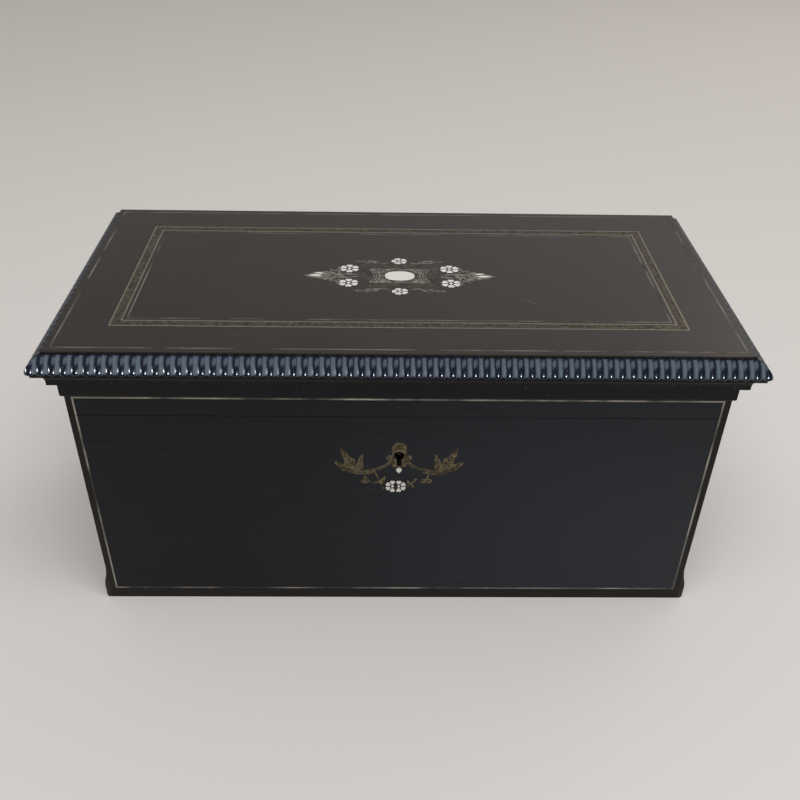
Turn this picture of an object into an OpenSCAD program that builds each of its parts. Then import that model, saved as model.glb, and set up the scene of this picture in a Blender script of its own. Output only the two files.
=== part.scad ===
// Ebonised deed box with brass and pearl inlay, ripple moulding and a box lock.
// Millimetres. The origin is the middle of the foot, +Z is up and the front faces -Y.

/* [Box] */
// Width of the box body over its veneers
box_w = 374.8; // [320:0.2:440]
// Depth of the box body over its veneers
box_d = 172.8; // [150:0.2:220]
// Height of the box body up to its rim
box_h = 149; // [120:0.5:190]
// Thickness of the four carcass boards
board_t = 12; // [12:0.25:16]
// Thickness of the bottom board
bottom_t = 8; // [5:0.5:14]
// Thickness of the ebonised veneer
veneer_t = 1.5; // [1.3:0.1:2.5]
// Height of the strips at the foot of the two ends
foot_h = 25; // [14:0.5:40]
// Projection of the strips at the foot of the two ends
foot_p = 3; // [2:0.25:6]

/* [Lining] */
// Thickness of the lining boards
lining_t = 3; // [2:0.25:4]
// Height that the lining stands above the rim
lip_h = 4; // [2:0.25:7]

/* [Lid] */
// Height of the lid from its lower edge to its flat top
lid_h = 45.7; // [40:0.1:60]
// Thickness of the lid board
lid_board_t = 8.5; // [6:0.25:10]
// Thickness of the side strips of the lid lining
lid_strip_t = 1.5; // [1:0.25:3]

/* [Mouldings] */
// Overhang of the flat top over the box body
top_p = 5; // [3:0.25:7]
// Depth of the quirk between the flat top and the ripple moulding
quirk_h = 1.1; // [0.6:0.1:1.6]
// Radius of the sloping face of the ripple moulding over its ribs
slope_r = 16; // [14:0.5:20]
// Distance of that face's centre behind the face of the box body
slope_in = 1; // [0:0.25:2]
// Angle above the level at which the sloping face meets the nose
nose_a = 27; // [22:1:32]
// Radius of the nose of the ripple moulding over its ribs
nose_r = 1.8; // [1.5:0.1:2.4]
// Spacing of the ribs along the ripple moulding
rib_pitch = 6.06; // [5.6:0.02:9]
// Radius of one rib across its crest
rib_r = 2.6; // [2.2:0.1:2.8]
// Height of the ribs over the troughs between them
rib_h = 1; // [0.4:0.1:1.2]
// Radius of the cove under the ripple moulding
cove_r = 6.2; // [5.4:0.1:6.8]
// Projection of the fillet under the cove
fillet_p = 5.7; // [5:0.1:6.2]
// Radius of the small cove under the fillet
under_r = 3; // [2:0.1:3.2]
// Projection of the flat band under the small cove
band_p = 1.7; // [1.2:0.1:2.2]
// Height of the cornice below the flat top
cornice_h = 32.5; // [30:0.25:36]

/* [Inlay] */
// Thickness of the inlaid brass and pearl
inlay_t = 1; // [0.5:0.1:1.2]
// Width of the fine strings
string_w = 1; // [0.6:0.1:1.6]
// Distance of the edge string from the edge of the flat top
edge_in = 3.6; // [2:0.1:8]
// Distance of the wide band from the two ends of the flat top
band_in = 29.5; // [20:0.5:36]
// Distance of the wide band from the front and the back of the flat top
band_in_y = 26.8; // [20:0.1:34]
// Width of the wide band
band_w = 6.5; // [4:0.25:9]
// Space between the wide band and the inner string
band_space = 1.7; // [1:0.1:4]
// Distance of the front string from the ends of the front
front_in = 3.7; // [2:0.1:8]
// Distance of the front string from the foot
front_up = 8.3; // [4:0.1:16]
// Overall length of the cartouche on the lid
cart_w = 119; // [100:1:150]
// Height of the brown ground of the cartouche
cart_h = 30; // [26:0.5:34]
// Distance from the middle of the lid to the middle of the cartouche, towards the front
cart_y = 2.7; // [0:0.1:6]
// Reach of each arm of the keyhole ornament from the keyhole
arm_w = 38; // [34:0.5:48]

/* [Lock] */
// Width of the lock
lock_w = 54; // [52:1:66]
// Height of the lock
lock_h = 42; // [40:0.5:54]
// Depth of the keyhole's head below the rim
key_z = 28.3; // [27:0.1:32]
// Radius of the keyhole's head
key_r = 3.1; // [2.6:0.1:3.6]
// Length of the keyhole from the centre of its head to its foot
key_leg = 7.9; // [6:0.1:9]
// Width of the keyhole's slot
key_slot = 3; // [2:0.1:4]
// Thickness of the lock's plates
plate_t = 1.5; // [1:0.1:1.8]
// Thickness of the lock bolt
bolt_t = 3; // [2:0.1:3.4]
// Travel of the lock bolt
bolt_travel = 4.5; // [3.5:0.1:5]
// Width of each hook of the link plate
hook_w = 6; // [5.5:0.1:7]
// Length of each hook below the link plate
hook_h = 9.5; // [8.5:0.1:10.5]
// Radius of the drill pin
drill_r = 1.25; // [1:0.05:1.5]

/* [Hinges] */
// Length of each hinge
hinge_l = 50; // [36:1:64]
// Thickness of the hinge leaves
leaf_t = 1.4; // [1:0.1:1.8]
// Depth of the hinge leaves in the wood
leaf_d = 10; // [8:0.25:11]
// Radius of the hinge knuckles
knuckle_r = 3; // [2.6:0.1:3.6]
// Radius of the hinge pins
pin_r = 1.25; // [1:0.05:1.5]
// Distance of each hinge from the middle of the box
hinge_x = 115; // [70:1:120]
// Radius of the screw heads
head_r = 2.4; // [2:0.1:2.6]
// Length of the screws
screw_l = 8; // [6:0.25:8]

/* [Fits] */
// Gap between the rim and the lid
rim_gap = 0.3; // [0.2:0.05:0.6]
// Clearance between the lining's lip and the lid's rails
lip_clear = 0.5; // [0.4:0.05:1]
// Clearance of parts that run in each other
run_clear = 0.05; // [0.03:0.01:0.08]
// Clearance of parts that pass each other
pass_clear = 0.4; // [0.3:0.05:0.6]

/* [Hidden] */

ebony = [0.10, 0.10, 0.11];
wood = [0.45, 0.32, 0.20];
brass = [0.68, 0.60, 0.42];
steel = [0.55, 0.56, 0.58];
pearl = [0.93, 0.93, 0.90];
umber = [0.30, 0.20, 0.14];
cloth = [0.36, 0.13, 0.16];

// Levels
lid_z = box_h + rim_gap;
top_z = lid_z + lid_h;
board_z = top_z - veneer_t - lid_board_t;
cornice_z = top_z - cornice_h;
lip_z = box_h + lip_h;

// Axes of the ripple moulding's sloping face and of its nose, its underside and its reach
slope_z = top_z - quirk_h - sqrt(pow(slope_r, 2) - pow(top_p + slope_in, 2));
nose_p = (slope_r - nose_r) * cos(nose_a) - slope_in;
nose_z = slope_z + (slope_r - nose_r) * sin(nose_a);
under_z = nose_z - nose_r;
reach_p = nose_p + nose_r;

// Widths and depths
carcass_w = box_w - 2 * veneer_t;
carcass_d = box_d - 2 * veneer_t;
inner_w = carcass_w - 2 * board_t;
inner_d = carcass_d - 2 * board_t;
rail_t = board_t - lip_clear;
lid_inner_w = carcass_w - 2 * rail_t;
lid_inner_d = carcass_d - 2 * rail_t;
top_w = box_w + 2 * top_p;
top_d = box_d + 2 * top_p;

// Lock, measured from the rim down and from the inner face of the front board forwards:
// the mortise leaves a wall of wood before it, and the bolt stands off the back plate
mortise_wall = 3.5;
bolt_off = 1.1;
lock_wall = 1.5;
lock_in = board_t - mortise_wall;
cap_t = 1.2;
back_y = -inner_d / 2;
bolt_y = back_y - plate_t - bolt_off;
sel_w = lock_w + 18;
sel_d = lock_in;
link_y = back_y - lip_clear;
link_d = sel_d - lip_clear;
hook_x = 11;
hook_web = 2;
tongue_h = 3.1;
tongue_top = -plate_t - 1.2;
post_w = 4.2;
bar_z = -12;
bar_h = 8;
stump_r = 1.3;
stump_z = bar_z - bar_h / 2;
stump_x = [-12, 10];

// Hinges
axis_y = box_d / 2 + knuckle_r + rim_gap;
axis_z = box_h + rim_gap / 2;

// Points along a round stretch of an outline
function arc(cx, cy, r, a0, a1, n = 8) =
  [for (i = [0 : n]) let (a = a0 + (a1 - a0) * i / n) [cx + r * cos(a), cy + r * sin(a)]];

// A point and a direction on a cubic curve
function bez(p, t) =
  pow(1 - t, 3) * p[0] + 3 * t * pow(1 - t, 2) * p[1] + 3 * t * t * (1 - t) * p[2] + pow(t, 3) * p[3];
function bez_dir(p, t) =
  let (d = (1 - t) * (1 - t) * (p[1] - p[0]) + 2 * t * (1 - t) * (p[2] - p[1]) + t * t * (p[3] - p[2]))
  d / norm(d);

// Outline along a cubic curve: its width goes from w0 to w1, and swells by as much as swell between them.
// A leaf is one that swells much, and its edge is cut into lobes.
module blade(p, w0, w1, swell = 0, lobes = 0, cut = 0.3, n = 12) {
  side = [for (i = [0 : n]) let (t = i / n, d = bez_dir(p, t),
    notch = lobes > 0 ? cut * abs(cos(180 * lobes * t)) : 0,
    w = (w0 + (w1 - w0) * t + swell * sin(180 * pow(t, 0.8)) * (1 - notch)) / 2)
    [bez(p, t) + w * [-d[1], d[0]], bez(p, t) - w * [-d[1], d[0]]]];
  polygon(concat([for (s = side) s[0]], [for (i = [n : -1 : 0]) side[i][1]]));
}

// A lobed leaf from its root at the origin along +X, bent to one side
module leaf(l, w, bend = 0, lobes = 3, cut = 0.3) {
  line = [[0, 0], [l * 0.3, bend], [l * 0.65, bend], [l, 0]];
  blade(line, 0.5, 0.3, w - 0.4, lobes, cut, max(8, 8 * lobes));
}

// Outline of a flower: separate petals round a separate eye, some of which may be left out
module flower(rx, ry, petals = 6, shown = [0, 1, 2, 3, 4, 5]) {
  half = 180 / petals - 4;
  petal = [[0.36, -0.6], [0.8, -1], [1, -0.5], [0.93, 0], [1, 0.5], [0.8, 1], [0.36, 0.6]];
  polygon([for (a = [0 : 36 : 324]) 0.2 * [rx * cos(a), ry * sin(a)]]);
  for (i = shown) let (mid = 360 / petals * (i + 0.5))
    polygon([for (q = petal) q[0] * [rx * cos(mid + q[1] * half), ry * sin(mid + q[1] * half)]]);
}

// Turns a shape drawn for the front so that it stands on another side of the box
module on_side(turn) {
  rotate([0, 0, turn]) children();
}

// Wedge in plan that holds one side's moulding between its two mitres, from projection p0 and height z0
module mitre_wedge(w, d, p0, z0) {
  x0 = w / 2 + p0;
  x1 = w / 2 + 2 * reach_p;
  y0 = -d / 2 - p0;
  y1 = -d / 2 - 2 * reach_p;
  translate([0, 0, z0]) linear_extrude(lid_h) polygon([[-x1, y1], [x1, y1], [x0, y0], [-x0, y0]]);
}

// A profile of projection and height, run along one side w long whose face is d / 2 from the middle
module run_profile(w, d) {
  intersection() {
    translate([0, -d / 2, 0]) rotate([90, 0, -90])
      linear_extrude(w + 4 * reach_p, center = true) children();
    mitre_wedge(w, d, -2 * veneer_t, lid_z);
  }
}

// A flat shape of x and height, let into or standing on the front at depth y0 with thickness t
module front_plate(y0, t) {
  translate([0, y0 + t, 0]) rotate([90, 0, 0]) linear_extrude(t) children();
}

// A block given by its middle in plan, its lowest height and its size
module block(x, y, z, w, d, h) {
  translate([x - w / 2, y - d / 2, z]) cube([w, d, h]);
}

// Carcass
module long_board(side) {
  block(0, side * (carcass_d - board_t) / 2, 0, carcass_w, board_t, box_h);
}

module end_board(side) {
  block(side * (carcass_w - board_t) / 2, 0, 0, board_t, inner_d, box_h);
}

module front_board() color(wood) difference() {
  long_board(-1);
  lock_mortise();
  translate([0, 0, box_h]) keyhole_cut();
  lock_screw_set(run_clear);
}

module back_board() color(wood) difference() {
  long_board(1);
  hinge_seats();
  hinge_screw_set(run_clear);
}

module left_board() color(wood) end_board(-1);

module right_board() color(wood) end_board(1);

module bottom_board() color(wood) block(0, 0, 0, inner_w, inner_d, bottom_t);

// Veneers
module front_veneer() color(ebony) difference() {
  block(0, -(box_d - veneer_t) / 2, 0, box_w, veneer_t, box_h);
  front_string_solid();
  front_plate(-box_d / 2, inlay_t) keyhole_inlay_outline(true);
  translate([0, 0, box_h]) keyhole_cut();
}

module back_veneer() color(ebony) difference() {
  block(0, (box_d - veneer_t) / 2, 0, box_w, veneer_t, box_h);
  hinge_seats();
}

module end_veneer(side) color(ebony)
  block(side * (box_w - veneer_t) / 2, 0, 0, veneer_t, carcass_d, box_h);

// Foot strips on the two ends: rounded below, and drawn in to the veneer above in an S curve
module foot_strip(side) color(ebony) {
  round_r = foot_p * 0.6;
  edge_p = 0.3;
  flare_z = foot_h * 0.4;
  steps = 8;
  outline = concat([[0, 0], [foot_p - round_r, 0]],
    arc(foot_p - round_r, round_r, round_r, -60, 0, 4),
    [for (i = [0 : steps]) [edge_p + (foot_p - edge_p) * (0.5 + 0.5 * cos(180 * i / steps)),
      flare_z + (foot_h - flare_z) * i / steps]],
    [[0, foot_h]]);
  mirror([side < 0 ? 1 : 0, 0, 0]) translate([box_w / 2, 0, 0])
    rotate([90, 0, 0]) linear_extrude(box_d, center = true) polygon(outline);
}

// Lining
module lining_long(side) color(cloth)
  block(0, side * (inner_d - lining_t) / 2, bottom_t + lining_t,
    inner_w, lining_t, lip_z - bottom_t - lining_t);

module lining_end(side) color(cloth)
  block(side * (inner_w - lining_t) / 2, 0, bottom_t + lining_t,
    lining_t, inner_d - 2 * lining_t, lip_z - bottom_t - lining_t);

module lining_floor() color(cloth) block(0, 0, bottom_t, inner_w, inner_d, lining_t);

module lid_lining() color(cloth) {
  strip_z = lid_z + lip_h + 1.5;
  strip_h = board_z - lining_t - strip_z;
  block(0, 0, board_z - lining_t, lid_inner_w, lid_inner_d, lining_t);
  for (side = [-1, 1]) {
    block(0, side * (lid_inner_d - lid_strip_t) / 2, strip_z, lid_inner_w, lid_strip_t, strip_h);
    block(side * (lid_inner_w - lid_strip_t) / 2, 0, strip_z,
      lid_strip_t, lid_inner_d - 2 * lid_strip_t, strip_h);
  }
}

// Lid
module lid_board() color(wood) block(0, 0, board_z, top_w, top_d, lid_board_t);

module rail_long(side) {
  block(0, side * (carcass_d - rail_t) / 2, lid_z, carcass_w, rail_t, board_z - lid_z);
}

module rail_end(side) color(wood)
  block(side * (carcass_w - rail_t) / 2, 0, lid_z, rail_t, lid_inner_d, board_z - lid_z);

module rail_front() color(wood) difference() {
  rail_long(-1);
  link_seat();
  link_screw_set(run_clear);
}

module rail_back() color(wood) difference() {
  rail_long(1);
  hinge_seats();
  hinge_screw_set(run_clear);
}

module top_veneer() color(ebony) difference() {
  block(0, 0, top_z - veneer_t, top_w, top_d, veneer_t);
  top_inlay() {
    ring(edge_in, edge_in, string_w);
    ring(band_in, band_in_y, band_w);
    ring(band_in + inner_step, band_in_y + inner_step, string_w);
    cartouche_outline();
  }
}

module frieze_long(side) {
  block(0, side * (box_d - veneer_t) / 2, lid_z, box_w, veneer_t, cornice_z - lid_z);
}

module frieze_front() color(ebony) difference() {
  frieze_long(-1);
  lid_front_string_solid();
}

module frieze_back() color(ebony) difference() {
  frieze_long(1);
  hinge_seats();
}

module frieze_end(side) color(ebony)
  block(side * (box_w - veneer_t) / 2, 0, lid_z, veneer_t, carcass_d, cornice_z - lid_z);

// Ripple moulding: a scalloped outline turned first about the far axis of its sloping face, then about its nose's
module rib_outline(len, r) {
  count = round(len / rib_pitch);
  pitch = len / count;
  intersection() {
    translate([0, -len / 2]) square([r + rib_r, len]);
    union() {
      translate([0, -len / 2]) square([r - rib_h, len]);
      for (i = [0 : count - 1])
        translate([r - rib_r, -len / 2 + (i + 0.5) * pitch]) circle(rib_r, $fn = 32);
    }
  }
}

module turned_ribs(w, d, p, z, r, from, to) {
  translate([0, -d / 2 - p, z]) rotate([0, 90, 0]) rotate([0, 0, 270 - from])
    rotate_extrude(angle = from - to, $fn = 96) rib_outline(w + 2 * reach_p, r);
}

// Angle where the slope begins, inside the quirk, and degrees by which the nose runs on inside its neighbours
slope_from = 80;
nose_on = 10;

module ripple(w, d) color(ebony) intersection() {
  union() {
    turned_ribs(w, d, -slope_in, slope_z, slope_r, slope_from, nose_a);
    turned_ribs(w, d, nose_p, nose_z, nose_r, nose_a + nose_on, -90 - nose_on);
    block(0, -d / 2 - nose_p / 2, under_z, w + 2 * reach_p, nose_p, nose_r);
  }
  mitre_wedge(w, d, top_p, under_z);
}

// Cornice: lip and cove under the ripple moulding, fillet, small cove, flat band and an ovolo above the frieze
module cornice_profile() {
  lip_p = nose_p - 0.5;
  lip_drop = 1.8;
  fillet_drop = 2.3;
  lip_a = acos((lip_p - fillet_p - cove_r) / cove_r);
  cove_z = under_z - lip_drop - cove_r * sin(lip_a);
  fillet_z = cove_z - fillet_drop;
  polygon(concat(
    [[-veneer_t, board_z], [top_p, board_z], [top_p, under_z], [lip_p, under_z]],
    arc(fillet_p + cove_r, cove_z, cove_r, lip_a, 180, 10),
    [[fillet_p, fillet_z]],
    arc(band_p + under_r, fillet_z - under_r, under_r, 90, 180, 6),
    arc(0, cornice_z + band_p, band_p, 0, -90, 5),
    [[-veneer_t, cornice_z]]));
}

module cornice(w, d) color(ebony) run_profile(w, d) cornice_profile();

// Strings and band in the lid's top
inner_step = band_w + band_space;

module top_inlay() {
  translate([0, 0, top_z - inlay_t]) linear_extrude(inlay_t) children();
}

// Frame of width w, set in by in_x from the ends and by in_y from the front and the back
module ring(in_x, in_y, w) {
  difference() {
    square([top_w - 2 * in_x, top_d - 2 * in_y], center = true);
    square([top_w - 2 * in_x - 2 * w, top_d - 2 * in_y - 2 * w], center = true);
  }
}

module edge_string() color(brass) top_inlay() ring(edge_in, edge_in, string_w);

module inner_string() color(brass) top_inlay()
  ring(band_in + inner_step, band_in_y + inner_step, string_w);

// The band is four strips that meet at mitres
module wide_band() color(brass) {
  reach_x = top_w / 2 - band_in;
  reach_y = top_d / 2 - band_in_y;
  mitre = run_clear;
  for (side = [0, 1])
    rotate([0, 0, 180 * side]) top_inlay() {
      polygon([[-reach_x + mitre, -reach_y], [reach_x - mitre, -reach_y],
        [reach_x - band_w - mitre, -reach_y + band_w], [-reach_x + band_w + mitre, -reach_y + band_w]]);
      polygon([[reach_x, -reach_y + mitre], [reach_x, reach_y - mitre],
        [reach_x - band_w, reach_y - band_w - mitre], [reach_x - band_w, -reach_y + band_w + mitre]]);
    }
}

// String on the front, in two parts that meet at the rim
string_x = box_w / 2 - front_in;
string_top = cornice_z - 0.7;

module front_frame(z0, z1) {
  difference() {
    translate([-string_x, z0]) square([2 * string_x, z1 - z0]);
    translate([-string_x + string_w, front_up + string_w])
      square([2 * (string_x - string_w), string_top - front_up - 2 * string_w]);
  }
}

module front_string_solid() {
  front_plate(-box_d / 2, inlay_t) front_frame(front_up, box_h);
}

module lid_front_string_solid() {
  front_plate(-box_d / 2, inlay_t) front_frame(lid_z, string_top);
}

module front_string() color(brass) front_string_solid();

module lid_front_string() color(brass) lid_front_string_solid();

// Cartouche on the lid: the places of its flowers and the outlines of its ground, brass and pearl
field_w = cart_w * 0.395;
centre_w = field_w * 0.39;
centre_h = cart_h * 0.40;
side_flower_r = cart_h * 0.205;
mid_flower_r = cart_h * 0.17;
side_flower_x = field_w / 2 + side_flower_r + 1.4;
side_flower_y = cart_h * 0.31;
mid_flower_y = cart_h / 2 + 0.8 * mid_flower_r + 0.6;

module cartouche_field() {
  square([field_w, cart_h], center = true);
}

// Full oval, a little squarer than an ellipse
module cartouche_centre_outline(room = 0) {
  polygon([for (a = [0 : 10 : 350]) let (c = cos(a), s = sin(a))
    [(centre_w / 2 + room) * sign(c) * pow(abs(c), 0.85), (centre_h / 2 + room) * sign(s) * pow(abs(s), 0.85)]]);
}

module cartouche_flower_outlines() {
  for (x = [-1, 1], y = [-1, 1])
    translate([x * side_flower_x, y * side_flower_y]) flower(side_flower_r, side_flower_r * 0.82);
  for (y = [-1, 1])
    translate([0, y * mid_flower_y]) flower(mid_flower_r, mid_flower_r * 0.8, 5, [0, 1, 2, 3, 4]);
  for (x = [0, 1]) mirror([x, 0]) translate([cart_w / 2 - 11.5, 0]) {
    leaf(8, 2.6, 0, 1, 0.1);
    translate([-1, 2.6]) rotate(12) leaf(5.5, 1.8, 0, 1, 0.1);
  }
}

// Brass frame round the centre: its ends are hollowed, and follow two curved slots that show the ground
module cartouche_frame() {
  frame_w = field_w * 0.79;
  frame_h = centre_h + 6;
  hollow_r = frame_h * 0.75;
  hollow_x = frame_w / 2 + hollow_r - 2.4;
  slot_w = 0.8;
  difference() {
    square([frame_w, frame_h], center = true);
    cartouche_centre_outline(0.8);
    for (x = [-1, 1]) translate([x * hollow_x, 0]) {
      circle(hollow_r, $fn = 48);
      for (k = [1, 2]) intersection() {
        difference() {
          circle(hollow_r + 2 * k * slot_w, $fn = 48);
          circle(hollow_r + (2 * k - 1) * slot_w, $fn = 48);
        }
        square([3 * hollow_r, frame_h - 3], center = true);
      }
    }
  }
}

module cartouche_brass_outline() {
  tip = cart_w / 2;
  root = side_flower_x;
  lift = cart_h / 2;
  edge = field_w / 2;
  difference() {
    union() {
      cartouche_frame();
      for (x = [0, 1], y = [0, 1]) mirror([x, 0]) mirror([0, y]) {
        blade([[mid_flower_r + 1.2, mid_flower_y - 1.5], [9, lift + 1],
          [11, lift + 0.8], [edge - 8, lift + 2.6]], 0.7, 1);
        translate([edge - 11.5, lift + 2.2]) rotate(6) leaf(16, 4.4, 1, 3);
        blade([[edge + 1.5, 0.9], [root, 2.4], [root + 6, 2.8], [tip - 18, 1.4]], 0.8, 1.2, 0.8);
        translate([root + side_flower_r - 1.5, 2.4]) rotate(40) leaf(9.5, 5, -1.5, 2);
      }
      for (x = [0, 1], y = [0, 1]) mirror([x, 0]) mirror([0, y]) {
        translate([tip - 25.5, 0]) leaf(25, 12, 0, 3, 0.2);
        translate([tip - 19.5, 1.5]) rotate(104) leaf(10.5, 4.2, 1, 2);
      }
    }
    cartouche_centre_outline();
    cartouche_flower_outlines();
  }
}

module cartouche_ground_outline() {
  difference() {
    cartouche_field();
    cartouche_brass_outline();
    cartouche_centre_outline();
    cartouche_flower_outlines();
  }
}

module cartouche_outline() {
  translate([0, -cart_y]) {
    cartouche_field();
    cartouche_brass_outline();
    cartouche_flower_outlines();
  }
}

module cartouche_ground() color(umber) translate([0, -cart_y, 0]) top_inlay() cartouche_ground_outline();

module cartouche_brass() color(brass) translate([0, -cart_y, 0]) top_inlay() cartouche_brass_outline();

module cartouche_flowers() color(pearl) translate([0, -cart_y, 0]) top_inlay() cartouche_flower_outlines();

module cartouche_centre() color(pearl) translate([0, -cart_y, 0]) top_inlay() cartouche_centre_outline();

// Ornament round the keyhole, drawn in x and height about the head of the keyhole
plate_w = key_r * 2 + 2.2;
plate_up = key_r + 7.3;
plate_down = key_leg + 0.5;
drop_size = arm_w / 38;
flower_r = 4.5 * drop_size;
flower_at = drop_size * [-1.8, -23.6];

module keyhole_outline() {
  circle(key_r, $fn = 48);
  translate([-key_slot / 2, -key_leg]) square([key_slot, key_leg]);
}

module keyhole_cut() {
  front_plate(-box_d / 2 - 1, board_t + veneer_t) translate([0, -key_z]) keyhole_outline();
}

module keyhole_flower_outlines() {
  translate(flower_at - [flower_r * 0.42, 0]) flower(flower_r, flower_r, 6, [1, 2, 3, 4]);
  translate(flower_at + [flower_r * 0.42, 0]) flower(flower_r, flower_r, 6, [0, 1, 4, 5]);
  translate([0, -plate_down - 0.6]) rotate(-90) leaf(4.2, 3.4, 0, 1, 0);
}

module keyhole_plate() {
  arch_r = plate_w / 2;
  translate([0, plate_up - arch_r]) circle(arch_r, $fn = 24);
  translate([-arch_r, -plate_down]) square([plate_w, plate_up - arch_r + plate_down]);
}

// One arm of the ornament, drawn to the right of the keyhole: two stems, a leaf of three blades and a curl
module keyhole_arm() {
  root = plate_w / 2 - 0.5;
  blade([[root, -2.4], [root + 3, -8], [root + 8, -11], [arm_w - 15, -11.8]], 2, 1.5);
  blade([[arm_w - 24, -12.4], [arm_w - 14, -14.4], [arm_w - 6, -11.5], [arm_w, -5]], 1, 0.4, 2.2);
  translate([arm_w - 15, -12.4]) rotate(58) leaf(21.5, 7.2, -1.2, 3);
  translate([arm_w - 15.5, -12]) rotate(96) leaf(13.5, 4.6, -1.6, 2);
  translate([arm_w - 13, -12]) rotate(30) leaf(15.5, 6.4, -1, 3);
  translate([plate_w / 2 + 1.4, -1.4]) circle(1.9, $fn = 12);
}

// Small pieces that hang under the arms: a trefoil and a sprig on the left, two curls and a twig on the right
module keyhole_drops() scale(drop_size) {
  blade([[-20.6, -12], [-20.8, -13.5], [-20.4, -14.5], [-20.2, -16.6]], 1, 0.8, 0, 0, 0, 6);
  for (a = [210, 270, 330, 90]) translate([-20.1, -18.4] + 1.6 * [cos(a), sin(a)]) circle(1.35, $fn = 10);
  blade([[-15, -11.4], [-12.6, -15], [-11.8, -20], [-8.8, -25.6]], 1.3, 0.6);
  translate([-11.4, -21.5]) rotate(62) leaf(6.4, 2.6, -0.6, 1, 0.1);
  translate([-11.8, -20]) rotate(188) leaf(4.6, 1.7, 0.4, 1, 0.1);
  blade([[18.2, -12.4], [18, -14.5], [17.4, -16], [16.4, -18.2]], 1.2, 0.9, 0, 0, 0, 6);
  for (x = [14.6, 18.2]) translate([x, -19.3]) circle(1.75, $fn = 12);
  blade([[4.4, -24], [6.5, -22.5], [8.5, -20.5], [10.6, -17.6]], 0.7, 1.1, 0.3);
  translate([6.6, -22.3]) rotate(108) leaf(4, 1.5, 0.3, 1, 0.1);
  translate([7, -22]) rotate(-48) leaf(3.6, 1.5, 0.3, 1, 0.1);
}

module keyhole_inlay_brass() {
  difference() {
    union() {
      keyhole_plate();
      for (x = [0, 1]) mirror([x, 0]) keyhole_arm();
      keyhole_drops();
    }
    keyhole_flower_outlines();
  }
}

// The whole ornament as one outline, used for its pocket, or the brass alone
module keyhole_inlay_outline(whole) {
  translate([0, box_h - key_z]) {
    keyhole_inlay_brass();
    if (whole) keyhole_flower_outlines();
  }
}

module keyhole_inlay() color(brass) front_plate(-box_d / 2, inlay_t) difference() {
  keyhole_inlay_outline(false);
  translate([0, box_h - key_z]) keyhole_outline();
}

module keyhole_flowers() color(pearl)
  front_plate(-box_d / 2, inlay_t) translate([0, box_h - key_z]) keyhole_flower_outlines();

// Wood screws: a countersunk head at the origin, pointing down -Z, with room around it when used as a hole
module wood_screw(room) {
  head_h = head_r * 0.6;
  shank_r = head_r * 0.5;
  rotate_extrude($fn = 32)
    polygon([[0, 0], [head_r + room, 0], [shank_r + room, -head_h], [shank_r + room, -screw_l + 2],
      [0.3 + room, -screw_l], [0, -screw_l]]);
}

module slotted_screw() {
  difference() {
    wood_screw(0);
    block(0, 0, -0.5, 2 * head_r + 1, 0.5, 1);
  }
}

module one_screw(room) {
  if (room > 0) wood_screw(room);
  else slotted_screw();
}

// Lock
module lock_mortise() {
  block(0, back_y - lock_in / 2, box_h - lock_h, lock_w, lock_in, lock_h + 1);
  block(0, back_y - sel_d / 2, box_h - plate_t, sel_w, sel_d, plate_t + 1);
}

function hook_centres() = [-hook_x, hook_x];

module hook_slots() {
  for (x = hook_centres())
    block(x, bolt_y - bolt_t / 2, box_h - plate_t - 1,
      hook_w + 2 * pass_clear, bolt_t + 2 * pass_clear, plate_t + 2);
}

// Case: back plate, rim plate with two slots, three walls and the stumps that guide the bolt
module lock_case() color(steel) difference() {
  depth = lock_in - cap_t;
  union() {
    difference() {
      block(0, back_y - depth / 2, box_h - lock_h, lock_w, depth, lock_h);
      block(0, back_y - plate_t - depth / 2, box_h - lock_h + lock_wall,
        lock_w - 2 * lock_wall, depth, lock_h - lock_wall - plate_t);
    }
    block(0, back_y - sel_d / 2, box_h - plate_t, sel_w, sel_d, plate_t);
    for (x = stump_x) translate([x, back_y - plate_t + 0.5, box_h + stump_z]) rotate([90, 0, 0]) {
      cylinder(h = 1.5, r = stump_r + 0.9, $fn = 32);
      cylinder(h = depth - plate_t, r = stump_r, $fn = 32);
    }
  }
  hook_slots();
  lock_screw_set(run_clear);
  translate([0, back_y + 1, box_h - key_z]) rotate([90, 0, 0])
    cylinder(h = plate_t + 2, r = drill_r, $fn = 32);
}

module lock_cap() color(steel) difference() {
  block(0, back_y - lock_in + cap_t / 2, box_h - lock_h, lock_w, cap_t, lock_h - plate_t);
  translate([0, 0, box_h]) keyhole_cut();
}

module lock_drill_pin() color(steel)
  translate([0, back_y, box_h - key_z]) rotate([90, 0, 0]) cylinder(h = board_t - 1, r = drill_r, $fn = 32);

// Bolt, drawn in x and height below the rim: a bar with two posts, each with a tongue to the right
module bolt_outline() {
  tip = -hook_w / 2 - 2 * pass_clear;
  post = tip - bolt_travel + pass_clear - post_w;
  talon_w = 7;
  talon_h = 3.5;
  left = -hook_x + post;
  right = hook_x + 3;
  difference() {
    union() {
      translate([left, bar_z - bar_h]) square([right - left, bar_h]);
      for (x = hook_centres()) {
        translate([x + post, bar_z - 1]) square([post_w, tongue_top - bar_z + 1]);
        translate([x + post, tongue_top - tongue_h]) square([tip - post, tongue_h]);
      }
    }
    for (x = stump_x) {
      slot_r = stump_r + run_clear;
      translate([x - bolt_travel, stump_z - slot_r]) square([bolt_travel, 2 * slot_r]);
      for (end = [x - bolt_travel, x]) translate([end, stump_z]) circle(slot_r, $fn = 32);
    }
    translate([-bolt_travel / 2 - talon_w / 2, bar_z - bar_h - 1]) square([talon_w, talon_h + 1]);
  }
}

module lock_bolt() color(steel)
  translate([0, 0, box_h]) front_plate(bolt_y - bolt_t, bolt_t) bolt_outline();

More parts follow.
